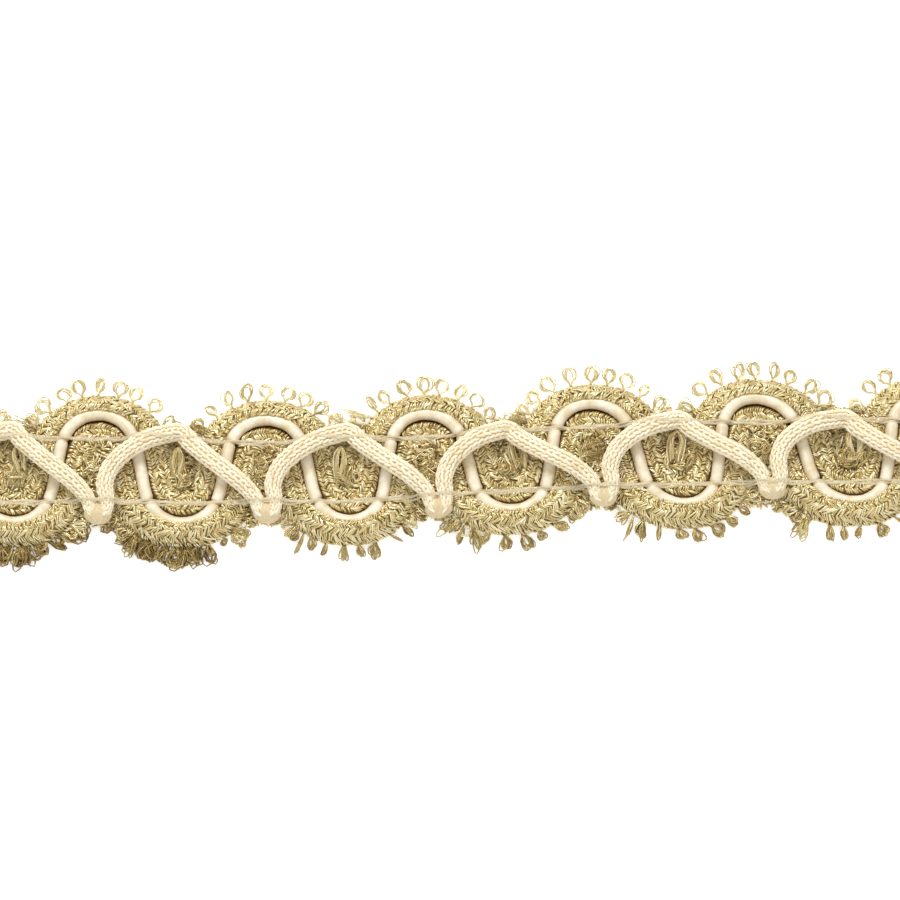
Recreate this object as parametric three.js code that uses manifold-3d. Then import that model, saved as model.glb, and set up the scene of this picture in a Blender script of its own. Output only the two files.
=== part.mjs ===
// A cut length of looped gimp braid, a sewing and upholstery trimming, lying on its back.
// A flat gold plait winds from scallop to scallop, with small picot loops along both of its edges. A smooth
// satin cord lies in a groove along the plait, and a soft knitted cord zigzags over both.
// Millimetres, +Z up. The braid runs along X, and its back is flat at Z = 0.
import * as THREE from "three";
import { mergeVertices } from "three/addons/utils/BufferGeometryUtils.js";
import Module from "manifold-3d";

const wasm = await Module();
wasm.setup();

// Driving dimensions of the gold plait
const PLAIT_HALF_WIDTH = 4.6;
const SCALLOP_REACH = 12.1; // from the middle line to the outer edge of a scallop
const PLAIT_BACK_HALF_WIDTH = 3.8;
const PLAIT_EDGE_HEIGHT = 0.8;
const PLAIT_SHOULDER_HALF_WIDTH = 4.05;
const PLAIT_SHOULDER_HEIGHT = 1.5;
const PLAIT_RIB_HEIGHT = 2.0;
const STEPS_PER_TURN = 9; // sections along the plait and the satin cord

// Driving dimensions of the satin cord and its groove
const SATIN_RADIUS = 1.05;
const SATIN_LEAN = 1.6; // how far the cord lies outside the plait's middle at a scallop's tip
const SATIN_HEIGHT = 2.25; // height of the cord's centre
const SATIN_SIDES = 8;
const GROOVE_HALF_WIDTH = 1.5;
const GROOVE_SHOULDER_HEIGHT = 1.7;
const GROOVE_FLOOR_HALF_WIDTH = 0.7;
const GROOVE_FLOOR_HEIGHT = 0.85;

// Driving dimensions of the knitted cord
const KNIT_HALF_WIDTH = 1.55;
const KNIT_HALF_THICKNESS = 1.3;
const KNIT_SIDES = 8;
const KNIT_STEPS_PER_ROW = 2;
const KNIT_OVERRUN = 0.3; // turns by which the cord runs past each cut before it is cut off

// Driving dimensions of the picot loops
const PICOT_HEIGHT = 0.32; // height of a loop above the back of the plait
const OUTER_PICOT = { count: 12, spread: 168, length: 3.2, width: 1.9 };
const INNER_PICOT = { count: 1, spread: 0, length: 2.4, width: 1.5 };
const PICOT_STEPS = 6;
const PICOT_THREAD_RADIUS = 0.26;
const PICOT_NECK = 0.33; // half the distance between a loop's two threads at its root
const PICOT_ROOT_DEPTH = 0.6; // how far the threads reach into the plait
const PICOT_CLEARANCE = 0.5; // how far a loop stays from a cut end and from the next scallop's loops
const JOIN_TOLERANCE = 0.03; // slivers under this size are cleaned away where loops join the plait

// Share of a turn by which a scallop is rounder than a plain cosine wave.
const SCALLOP_SWELL = 0.1;

// The place in the table of turns that becomes the part's origin, the middle of its finished box.
const ORIGIN = { along: -3.75, across: -0.545 };

// One row for each scallop tip from left to right: its place along the braid, the drift of the middle line
// there, its reach as a share of the usual one, and how far the knitted cord's own turn there is shifted along
// the braid and across it. Upper and lower scallops alternate, an upper one first.
const TURNS = [
  { along: -86.2, drift: 0.2, reach: 1.0, slide: 1.0, lift: -0.3 },
  { along: -72.3, drift: 0.0, reach: 1.05, slide: -0.3, lift: 0.6 },
  { along: -58.3, drift: -0.3, reach: 1.04, slide: -0.3, lift: -0.4 },
  { along: -44.5, drift: -0.9, reach: 1.03, slide: -0.2, lift: 0.6 },
  { along: -30.5, drift: -1.4, reach: 0.98, slide: -0.3, lift: -0.3 },
  { along: -16.7, drift: -1.35, reach: 1.0, slide: 0.0, lift: 0.6 },
  { along: -4.2, drift: -1.05, reach: 0.985, slide: 1.8, lift: -0.4 },
  { along: 10.3, drift: -0.35, reach: 0.975, slide: -0.7, lift: -0.4 },
  { along: 23.3, drift: 0.05, reach: 1.0, slide: 1.7, lift: 0.0 },
  { along: 38.8, drift: 0.2, reach: 1.0, slide: -0.5, lift: -0.1 },
  { along: 50.8, drift: 0.2, reach: 1.01, slide: 2.1, lift: 0.5 },
  { along: 66.7, drift: 0.0, reach: 1.01, slide: -0.8, lift: -0.4 },
  { along: 78.7, drift: -0.2, reach: 1.0, slide: 1.8, lift: 0.0 },
];
const LAST_TURN = TURNS.length - 1;
const CUT_ENDS = { left: TURNS[0].along - ORIGIN.along, right: TURNS[LAST_TURN].along - ORIGIN.along };
const CUT_ALLOWANCE = 0.03; // turns by which each piece is made longer before both ends are cut off straight

// One repeat of the knitted cord, from its gentle turn in one upper gap to the next, past a tight hairpin under
// an upper scallop: turns counted from the hairpin, the distance across, the height of the cord's centre, and
// its width as a share of the usual one.
const KNIT_ROUTE = [
  { turn: -1.0, across: 5.3, height: 3.2, width: 1.0 },
  { turn: -0.87, across: 3.5, height: 3.8, width: 1.0 },
  { turn: -0.6, across: 0.5, height: 4.92, width: 0.95 },
  { turn: -0.37, across: -1.6, height: 4.88, width: 0.95 },
  { turn: -0.2, across: -3.4, height: 3.8, width: 0.9 },
  { turn: -0.1, across: -5.1, height: 3.2, width: 0.82 },
  { turn: -0.075, across: -6.7, height: 2.8, width: 0.8 },
  { turn: 0.02, across: -8.0, height: 2.6, width: 0.8 },
  { turn: 0.115, across: -6.7, height: 2.8, width: 0.8 },
  { turn: 0.12, across: -5.0, height: 3.2, width: 0.82 },
  { turn: 0.1, across: -2.6, height: 3.7, width: 0.92 },
  { turn: 0.18, across: 0.1, height: 4.2, width: 0.95 },
  { turn: 0.35, across: 2.1, height: 4.92, width: 0.95 },
  { turn: 0.6, across: 3.9, height: 4.88, width: 1.0 },
  { turn: 0.82, across: 4.9, height: 3.8, width: 1.0 },
];

const GOLD = { color: 0xb9a66a, roughness: 0.42, metalness: 0.65 };
const SATIN = { color: 0xead9c2, roughness: 0.45, metalness: 0.0 };
const CREAM = { color: 0xefe2c8, roughness: 0.8, metalness: 0.0 };

// Smooth value of one column of TURNS at a place counted in turns, also a little past both ends.
function columnAt(column, turn) {
  const row = (k) => {
    if (k < 0) return 2 * TURNS[0][column] - TURNS[-k][column];
    if (k > LAST_TURN) return 2 * TURNS[LAST_TURN][column] - TURNS[2 * LAST_TURN - k][column];
    return TURNS[k][column];
  };
  const k = Math.floor(turn);
  const f = turn - k;
  const [a, b, c, d] = [row(k - 1), row(k), row(k + 1), row(k + 2)];
  return b + (f * (c - a + f * (2 * a - 5 * b + 4 * c - d + f * (3 * b - a - 3 * c + d)))) / 2;
}

// A place on the braid, from turns along it and millimetres across it.
function place(turn, across, height = 0) {
  const x = columnAt("along", turn) - ORIGIN.along;
  const y = columnAt("drift", turn) + across * columnAt("reach", turn) - ORIGIN.across;
  return new THREE.Vector3(x, y, height);
}

// A point of the gold plait's middle line, t counting the scallop tips from the left.
function plaitMiddle(t) {
  const turn = t + SCALLOP_SWELL * Math.sin(2 * Math.PI * t);
  return place(turn, (SCALLOP_REACH - PLAIT_HALF_WIDTH) * Math.cos(Math.PI * t));
}

// The plait's frame at t: its middle, its direction, and the direction across it to the left.
function plaitFrame(t) {
  const step = 0.001;
  const along = plaitMiddle(t + step).sub(plaitMiddle(t - step)).normalize();
  return { middle: plaitMiddle(t), along, across: new THREE.Vector3(-along.y, along.x, 0) };
}

// How far to the left of the plait's middle the satin cord lies at t.
function satinOffset(t) {
  const wave = Math.cos(Math.PI * t);
  return SATIN_LEAN * wave * Math.abs(wave);
}

function onPlait(frame, across, height) {
  return frame.middle.clone().addScaledVector(frame.across, across).setZ(height);
}

// The plait's section: a flat back and two ribs, with the satin cord's groove between them.
function plaitSection(t) {
  const groove = satinOffset(t);
  const half = (side) => {
    const bank = groove + side * GROOVE_HALF_WIDTH;
    const shoulder = side * PLAIT_SHOULDER_HALF_WIDTH;
    return [
      [side * PLAIT_BACK_HALF_WIDTH, 0],
      [side * PLAIT_HALF_WIDTH, PLAIT_EDGE_HEIGHT],
      [shoulder, PLAIT_SHOULDER_HEIGHT],
      [(bank + shoulder) / 2, PLAIT_RIB_HEIGHT],
      [bank, GROOVE_SHOULDER_HEIGHT],
      [groove + side * GROOVE_FLOOR_HALF_WIDTH, GROOVE_FLOOR_HEIGHT],
    ];
  };
  return [...half(1), ...half(-1).reverse()];
}

// A closed solid through rings of equally many points, whose flat ends both have the given outline.
function loft(rings, outline) {
  const count = outline.length;
  const index = [];
  for (let r = 0; r + 1 < rings.length; r++) {
    for (let i = 0; i < count; i++) {
      const [a, b] = [r * count + i, r * count + ((i + 1) % count)];
      index.push(a, b, b + count, a, b + count, a + count);
    }
  }
  const corners = outline.map(([across, height]) => new THREE.Vector2(across, height));
  const last = (rings.length - 1) * count;
  for (const [a, b, c] of THREE.ShapeUtils.triangulateShape(corners, [])) {
    index.push(a, c, b, last + a, last + b, last + c);
  }
  const positions = rings.flat().flatMap((p) => [p.x, p.y, p.z]);
  const geometry = new THREE.BufferGeometry();
  geometry.setAttribute("position", new THREE.Float32BufferAttribute(positions, 3));
  geometry.setIndex(index);
  return geometry;
}

// A closed solid that runs along the plait. Its section is a list of places across the plait and up.
function loftAlongPlait(section) {
  const rings = [];
  const steps = LAST_TURN * STEPS_PER_TURN;
  for (let i = 0; i <= steps; i++) {
    const t = -CUT_ALLOWANCE + (i / steps) * (LAST_TURN + 2 * CUT_ALLOWANCE);
    const frame = plaitFrame(t);
    rings.push(section(t).map(([across, height]) => onPlait(frame, across, height)));
  }
  return loft(rings, section(0));
}

// The corners of a cord's round or oval section, as places to its left and up.
function ovalCorners(sides, halfWidth, halfHeight) {
  return Array.from({ length: sides }, (_, i) => {
    const angle = (2 * Math.PI * i) / sides;
    return [-halfWidth * Math.sin(angle), halfHeight * Math.cos(angle)];
  });
}

function satinSection(t) {
  const corners = ovalCorners(SATIN_SIDES, SATIN_RADIUS, SATIN_RADIUS);
  return corners.map(([left, up]) => [satinOffset(t) + left, SATIN_HEIGHT + up]);
}

// A solid through points of a smooth path, with an oval section that stays upright. Each point of the path may
// have its own share of the section's width.
function cordAlong(points, steps, corners, widths = points.map(() => 1)) {
  const path = new THREE.CatmullRomCurve3(points, false, "centripetal");
  const up = new THREE.Vector3(0, 0, 1);
  const rings = [];
  for (let i = 0; i <= steps; i++) {
    const u = i / steps;
    const tangent = path.getTangent(u);
    const left = new THREE.Vector3().crossVectors(up, tangent).normalize();
    const over = new THREE.Vector3().crossVectors(tangent, left);
    const row = Math.min(Math.floor(u * (points.length - 1)), points.length - 2);
    const width = THREE.MathUtils.lerp(widths[row], widths[row + 1], u * (points.length - 1) - row);
    const centre = path.getPoint(u);
    const corner = ([a, b]) => centre.clone().addScaledVector(left, a * width).addScaledVector(over, b);
    rings.push(corners.map(corner));
  }
  return loft(rings, corners);
}

// A point of the knitted cord's middle line, from its turns along the braid.
function knitPoint(turn, { across, height }) {
  const point = place(turn, across, height);
  point.x += columnAt("slide", turn);
  point.y += columnAt("lift", turn);
  return point;
}

// The knitted cord starts before the first cut and ends after the last, so that both cut it at its own angle.
function knitCord() {
  const rows = [{ tip: -2, ...KNIT_ROUTE.at(-2) }, { tip: -2, ...KNIT_ROUTE.at(-1) }];
  for (let tip = 0; tip <= LAST_TURN; tip += 2) {
    rows.push(...KNIT_ROUTE.map((row) => ({ tip, ...row })));
  }
  const reach = LAST_TURN / 2 + KNIT_OVERRUN;
  const inside = rows.filter((row) => Math.abs(row.tip + row.turn - LAST_TURN / 2) < reach);
  const points = inside.map((row) => knitPoint(row.tip + row.turn, row));
  const corners = ovalCorners(KNIT_SIDES, KNIT_HALF_WIDTH, KNIT_HALF_THICKNESS);
  const steps = (points.length - 1) * KNIT_STEPS_PER_ROW;
  return cordAlong(points, steps, corners, inside.map((row) => row.width));
}

// One picot loop: two threads leave the plait's edge side by side, part and meet in a round head.
function picotLoop(root, along, outward, length, width) {
  const half = [
    [PICOT_NECK, -PICOT_ROOT_DEPTH],
    [PICOT_NECK, 0.22 * length],
    [0.5 * width, 0.55 * length],
    [0.38 * width, 0.87 * length],
  ];
  const outline = [...half.map(([a, b]) => [-a, b]), [0, length], ...half.reverse()];
  const points = outline.map(([a, b]) => root.clone().addScaledVector(along, a).addScaledVector(outward, b));
  const even = new THREE.CatmullRomCurve3(points, false, "centripetal").getSpacedPoints(PICOT_STEPS);
  return cordAlong(even, PICOT_STEPS, ovalCorners(3, PICOT_THREAD_RADIUS, PICOT_THREAD_RADIUS));
}

// Picot loops along one edge of the plait round scallop number k. The outer ones stand square to the edge, as
// long as the gap to the next scallop allows, and the inner one lies in the scallop's open mouth.
function scallopPicots(k, kind, outer) {
  const upper = k % 2 === 0 ? 1 : -1;
  const side = outer ? upper : -upper;
  const loops = [];
  for (let i = 0; i < kind.count; i++) {
    const t = k + ((i + 0.5) / kind.count - 0.5) * (kind.spread / 180);
    if (t < 0 || t > LAST_TURN) continue;
    const frame = plaitFrame(t);
    const root = onPlait(frame, side * PLAIT_HALF_WIDTH, PICOT_HEIGHT);
    const fromCut = Math.min(root.x - CUT_ENDS.left, CUT_ENDS.right - root.x);
    if (fromCut < kind.width / 2 + PICOT_CLEARANCE) continue;
    const outward = outer ? frame.across.multiplyScalar(side) : new THREE.Vector3(0, side, 0);
    const nextGap = place(t < k ? k - 1 : k + 1, 0).x;
    const room = outer ? (nextGap - root.x) / outward.x - PICOT_CLEARANCE : Infinity;
    const along = new THREE.Vector3(outward.y, -outward.x, 0);
    loops.push(picotLoop(root, along, outward, Math.min(kind.length, room), kind.width));
  }
  return loops;
}

// A closed three.js geometry as a solid for the boolean joins, and back.
function toSolid(geometry) {
  const bare = geometry.clone();
  bare.deleteAttribute("normal");
  bare.deleteAttribute("uv");
  const merged = mergeVertices(bare, 1e-4);
  const mesh = new wasm.Mesh({
    numProp: 3,
    vertProperties: merged.attributes.position.array,
    triVerts: new Uint32Array(merged.index.array),
  });
  return new wasm.Manifold(mesh);
}

function toGeometry(solid) {
  const mesh = solid.getMesh();
  const geometry = new THREE.BufferGeometry();
  geometry.setAttribute("position", new THREE.BufferAttribute(mesh.vertProperties, 3));
  geometry.setIndex(new THREE.BufferAttribute(mesh.triVerts, 1));
  geometry.computeVertexNormals();
  return geometry;
}

function goldPlait() {
  let solid = toSolid(loftAlongPlait(plaitSection));
  for (let k = 0; k <= LAST_TURN; k++) {
    const loops = [...scallopPicots(k, OUTER_PICOT, true), ...scallopPicots(k, INNER_PICOT, false)];
    for (const loop of loops) solid = solid.add(toSolid(loop));
  }
  return solid;
}

// A finished piece, with its ends cut off straight.
function piece(name, solid, look) {
  const cut = solid.trimByPlane([1, 0, 0], CUT_ENDS.left).trimByPlane([-1, 0, 0], -CUT_ENDS.right);
  const clean = cut.asOriginal().simplify(JOIN_TOLERANCE);
  const mesh = new THREE.Mesh(toGeometry(clean), new THREE.MeshStandardMaterial(look));
  mesh.name = name;
  return mesh;
}

const braid = new THREE.Group();
braid.add(piece("gold_plait", goldPlait(), GOLD));
braid.add(piece("satin_cord", toSolid(loftAlongPlait(satinSection)), SATIN));
braid.add(piece("knit_cord", toSolid(knitCord()), CREAM));

export default braid;
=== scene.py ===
import math

import bmesh
import bpy
import numpy as np
from mathutils import Matrix, Vector
from mathutils.bvhtree import BVHTree


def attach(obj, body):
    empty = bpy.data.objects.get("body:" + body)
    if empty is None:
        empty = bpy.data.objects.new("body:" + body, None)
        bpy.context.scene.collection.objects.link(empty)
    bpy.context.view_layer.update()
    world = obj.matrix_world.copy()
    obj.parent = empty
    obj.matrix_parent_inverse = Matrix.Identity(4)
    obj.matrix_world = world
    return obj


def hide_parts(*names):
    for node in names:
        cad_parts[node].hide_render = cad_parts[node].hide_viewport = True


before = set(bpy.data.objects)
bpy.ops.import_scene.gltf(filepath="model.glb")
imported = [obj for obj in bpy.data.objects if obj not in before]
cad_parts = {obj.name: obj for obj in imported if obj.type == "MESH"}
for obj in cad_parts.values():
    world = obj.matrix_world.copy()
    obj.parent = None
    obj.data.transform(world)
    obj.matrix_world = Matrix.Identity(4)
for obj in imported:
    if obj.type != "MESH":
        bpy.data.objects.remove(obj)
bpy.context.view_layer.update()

MM = 0.001
UP = np.array([0.0, 0.0, 1.0])

# The gold plait
PLAIT_HALF_WIDTH = 4.6
SCALLOP_REACH = 12.1
SCALLOP_SWELL = 0.1
GROOVE_HALF_WIDTH = 1.5
GROOVE_DEPTH = 1.0
# Half of the plait's section without its groove, from the middle round the edge to the back
PLAIT_PROFILE = np.array([[0, 1.98], [3.2, 1.98], [4.1, 1.62], [4.62, 0.95], [4.5, 0.35], [3.8, 0.02]])

# Outside the satin cord the plait stands up in a rib and rolls over the cord, most at a scallop's tip
RIB_RISE = 1.2
RIB_ROLL_UPPER = 0.4
RIB_ROLL_LOWER = 0.8

# How far the plait's edge swells past its section, by turns from the tip on whose outer side it lies
EDGE_PLACES = np.array([0.0, 0.15, 0.3, 0.45, 0.58, 0.7, 1.0])
UPPER_EDGE_SWELL = np.array([0.4, 0.6, 1.1, 1.1, 0.6, 0.0, 0.0])
LOWER_EDGE_SWELL = np.array([0.7, 1.2, 1.7, 1.2, 0.6, 0.0, 0.0])

# The satin cord, which sinks a little into the plait at each tip
SATIN_RADIUS = 1.05
SATIN_LEAN = 1.45
SATIN_HEIGHT = 2.25
SATIN_SINK = 0.25

# Rows of binding thread, across the braid
BINDING_ROWS = (-5.6, 4.8)
BINDING_STRANDS = 3
BINDING_HALF_WIDTH = 0.22
# How fast a thread comes down beside what it lies over
BINDING_FALL = 1.4

# The knitted cord
KNIT_HALF_WIDTH = 1.55
KNIT_HALF_THICKNESS = 1.3
KNIT_OVERRUN = 0.3

# The braid's origin, in the millimetres of the table below
ORIGIN_ALONG = -3.75
ORIGIN_ACROSS = -0.545
ALONG, DRIFT, REACH, SLIDE, LIFT = range(5)
# One row for each scallop tip from left to right, an upper one first
TURNS = np.array([
    [-86.2, 0.2, 1.0, 1.0, -0.3],
    [-72.3, 0.0, 1.05, -0.3, 0.6],
    [-58.3, -0.3, 1.04, -0.3, -0.4],
    [-44.5, -0.9, 1.03, -0.2, 0.6],
    [-30.5, -1.4, 0.98, -0.3, -0.3],
    [-16.7, -1.35, 1.0, 0.0, 0.6],
    [-4.2, -1.05, 0.985, 1.8, -0.4],
    [10.3, -0.35, 0.975, -0.7, -0.4],
    [23.3, 0.05, 1.0, 1.7, 0.0],
    [38.8, 0.2, 1.0, -0.5, -0.1],
    [50.8, 0.2, 1.01, 2.1, 0.5],
    [66.7, 0.0, 1.01, -0.8, -0.4],
    [78.7, -0.2, 1.0, 1.8, 0.0],
])
LAST_TURN = len(TURNS) - 1
CUT_LEFT = TURNS[0, ALONG] - ORIGIN_ALONG
CUT_RIGHT = TURNS[-1, ALONG] - ORIGIN_ALONG
PADDING = 3
# The same rows, with more of them mirrored past both ends for the curves to run on into
TURNS_BEFORE = 2 * TURNS[0] - TURNS[PADDING:0:-1]
TURNS_AFTER = 2 * TURNS[-1] - TURNS[-2 : -2 - PADDING : -1]
PADDED_TURNS = np.vstack([TURNS_BEFORE, TURNS, TURNS_AFTER])
# One repeat of the knitted cord: turns from the hairpin, across, height of its centre, share of its width
KNIT_ROUTE = np.array([
    [-1.0, 5.3, 3.2, 1.0],
    [-0.87, 3.5, 3.8, 1.0],
    [-0.6, 0.5, 4.92, 0.95],
    [-0.37, -1.6, 4.88, 0.95],
    [-0.2, -3.4, 3.8, 0.9],
    [-0.1, -5.1, 3.2, 0.82],
    [-0.075, -6.7, 2.8, 0.8],
    [0.02, -8.0, 2.6, 0.8],
    [0.115, -6.7, 2.8, 0.8],
    [0.12, -5.0, 3.2, 0.82],
    [0.1, -2.6, 3.7, 0.92],
    [0.18, 0.1, 4.2, 0.95],
    [0.35, 2.1, 4.92, 0.95],
    [0.6, 3.9, 4.88, 1.0],
    [0.82, 4.9, 3.8, 1.0],
])


def unit(vectors):
    return vectors / np.linalg.norm(vectors, axis=-1, keepdims=True)


def travel(points):
    """Distance along a polyline at each of its points."""
    return np.concatenate([[0], np.cumsum(np.linalg.norm(np.diff(points, axis=0), axis=1))])


def ease(value, low, high):
    """0 below low, 1 above high, and a smooth step between them."""
    share = np.clip((value - low) / (high - low), 0, 1)
    return share * share * (3 - 2 * share)


def curve_between(a, b, c, d, f):
    """A smooth curve at the share f of the way from b to c, with a before them and d after."""
    return b + f * (c - a + f * (2 * a - 5 * b + 4 * c - d + f * (3 * b - a - 3 * c + d))) / 2


def column_at(column, turn):
    """Smooth value of one column of TURNS at places counted in turns."""
    k = np.floor(turn).astype(int)
    near = (PADDED_TURNS[k + PADDING + i, column] for i in (-1, 0, 1, 2))
    return curve_between(*near, turn - k)


def place(turn, across, height=0.0):
    """Points on the braid, from turns along it and millimetres across it."""
    x = column_at(ALONG, turn) - ORIGIN_ALONG
    y = column_at(DRIFT, turn) + across * column_at(REACH, turn) - ORIGIN_ACROSS
    return np.stack(np.broadcast_arrays(x, y, height), -1)


def plait_middle(t):
    turn = t + SCALLOP_SWELL * np.sin(2 * np.pi * t)
    return place(turn, (SCALLOP_REACH - PLAIT_HALF_WIDTH) * np.cos(np.pi * t))


def plait_frame(t):
    """The plait's middle, direction, and direction to its left."""
    step = 0.001
    along = unit(plait_middle(t + step) - plait_middle(t - step))
    return plait_middle(t), along, np.cross(UP, along)


def satin_offset(t):
    wave = np.cos(np.pi * t)
    return SATIN_LEAN * wave * np.abs(wave)


def rounded(points, times=2):
    """A polyline with its corners cut, its ends kept."""
    for _ in range(times):
        a, b = points[:-1], points[1:]
        cut = np.stack([a * 0.75 + b * 0.25, a * 0.25 + b * 0.75], 1).reshape(-1, points.shape[1])
        points = np.vstack([points[:1], cut, points[-1:]])
    return points


PROFILE = rounded(PLAIT_PROFILE)
PROFILE_LENGTHS = travel(PROFILE)
PROFILE_HALF = PROFILE_LENGTHS[-1]


def edge_swell(t, side):
    """How far the plait's edge swells out: side is 1 for its left and -1 for its right."""
    from_tip = np.where(side > 0, np.abs((t + 1) % 2 - 1), np.abs(t % 2 - 1))
    upper = np.interp(from_tip, EDGE_PLACES, UPPER_EDGE_SWELL)
    lower = np.interp(from_tip, EDGE_PLACES, LOWER_EDGE_SWELL)
    return np.where(side > 0, upper, lower)


def plait_skin(t, w, lower=0.0):
    """Points on the plait's skin: w is measured round its section from the middle, positive to the left."""
    middle, _, left = plait_frame(t)
    s = np.sign(w) * np.interp(np.abs(w), PROFILE_LENGTHS, PROFILE[:, 0])
    height = np.interp(np.abs(w), PROFILE_LENGTHS, PROFILE[:, 1])
    wave = np.cos(np.pi * t)
    near_tip = np.abs(wave) ** 1.5
    outer = s * np.sign(wave)
    top = np.clip(height - 0.8, 0, 1)
    narrowed = np.where(outer > np.abs(satin_offset(t)), 0.5 * near_tip, 0)
    off = np.clip(np.abs(s - satin_offset(t)) / (GROOVE_HALF_WIDTH - narrowed), 0, 1)
    inner = (outer < np.abs(satin_offset(t))) * near_tip
    groove = GROOVE_DEPTH * (1 + 0.4 * inner) * (0.5 + 0.5 * np.cos(np.pi * off))
    rib = ease(outer, 1.3, 2.5) * (1 - ease(outer, 3.5, 4.6)) * near_tip * top
    roll = np.where(wave > 0, RIB_ROLL_UPPER, RIB_ROLL_LOWER) * rib
    swell = np.sign(w) * edge_swell(t, np.sign(w)) * ease(np.abs(s), 2.8, 4.6)
    s = (s + swell) * (1 - lower / PLAIT_HALF_WIDTH) - np.sign(wave) * roll
    height = height + RIB_RISE * rib - (groove + lower) * top
    return middle + left * s[..., None] + UP * height[..., None]


def plait_normal(t, w):
    """Outward normal of the plait's skin."""
    step = 0.05
    round_it = plait_skin(t, w + step) - plait_skin(t, w - step)
    _, along, _ = plait_frame(t)
    return unit(np.cross(along, round_it))


def paired(along, around):
    """Steps along a tube and round it, side by side for each corner of its faces."""
    return np.stack([np.stack(along, 1), np.stack(around, 1)], -1).astype(float)


def strip_faces(rings, sides, poles):
    """Faces of one tube: quads and, with poles, triangles, each kind with the steps of its corners."""
    first = 1 if poles else 0
    r, j = (a.ravel() for a in np.meshgrid(np.arange(rings - 1), np.arange(sides), indexing="ij"))
    k = (j + 1) % sides
    quads = np.stack([r * sides + j, r * sides + k, (r + 1) * sides + k, (r + 1) * sides + j], 1)
    r = r + first
    kinds = [(quads + first, paired([r, r, r + 1, r + 1], [j, j + 1, j + 1, j]))]
    if poles:
        j = np.arange(sides)
        k = (j + 1) % sides
        last = 1 + (rings - 1) * sides
        zero = 0 * j
        start = np.stack([zero, 1 + k, 1 + j], 1)
        end = np.stack([last + j, last + k, zero + last + sides], 1)
        start_steps = paired([zero, zero + 1, zero + 1], [j + 0.5, j + 1, j])
        end_steps = paired([zero + rings, zero + rings, zero + rings + 1], [j, j + 1, j + 0.5])
        kinds.append((np.vstack([start, end]), np.vstack([start_steps, end_steps])))
    return kinds


def linked(name, data):
    """A new object in the scene."""
    made = bpy.data.objects.new(name, data)
    bpy.context.scene.collection.objects.link(made)
    return made


def fill(items, field, values, kind=np.float32):
    items.foreach_set(field, np.ascontiguousarray(values, kind).ravel())


# How far apart the looks of the darkest and the lightest strands are taken
TONE_SHIFT = 37.0
# Margin inside each cell of the bake's map, as a share of the cell
CELL_INSET = 0.08
# Places along a short strand from its middle, as shares of half its length, and its width there
STRAND_STEPS = np.array([-1.0, -0.6, 0.0, 0.6, 1.0])
STRAND_SWELL = np.array([0.4, 0.85, 1.0, 0.85, 0.4])


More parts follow.
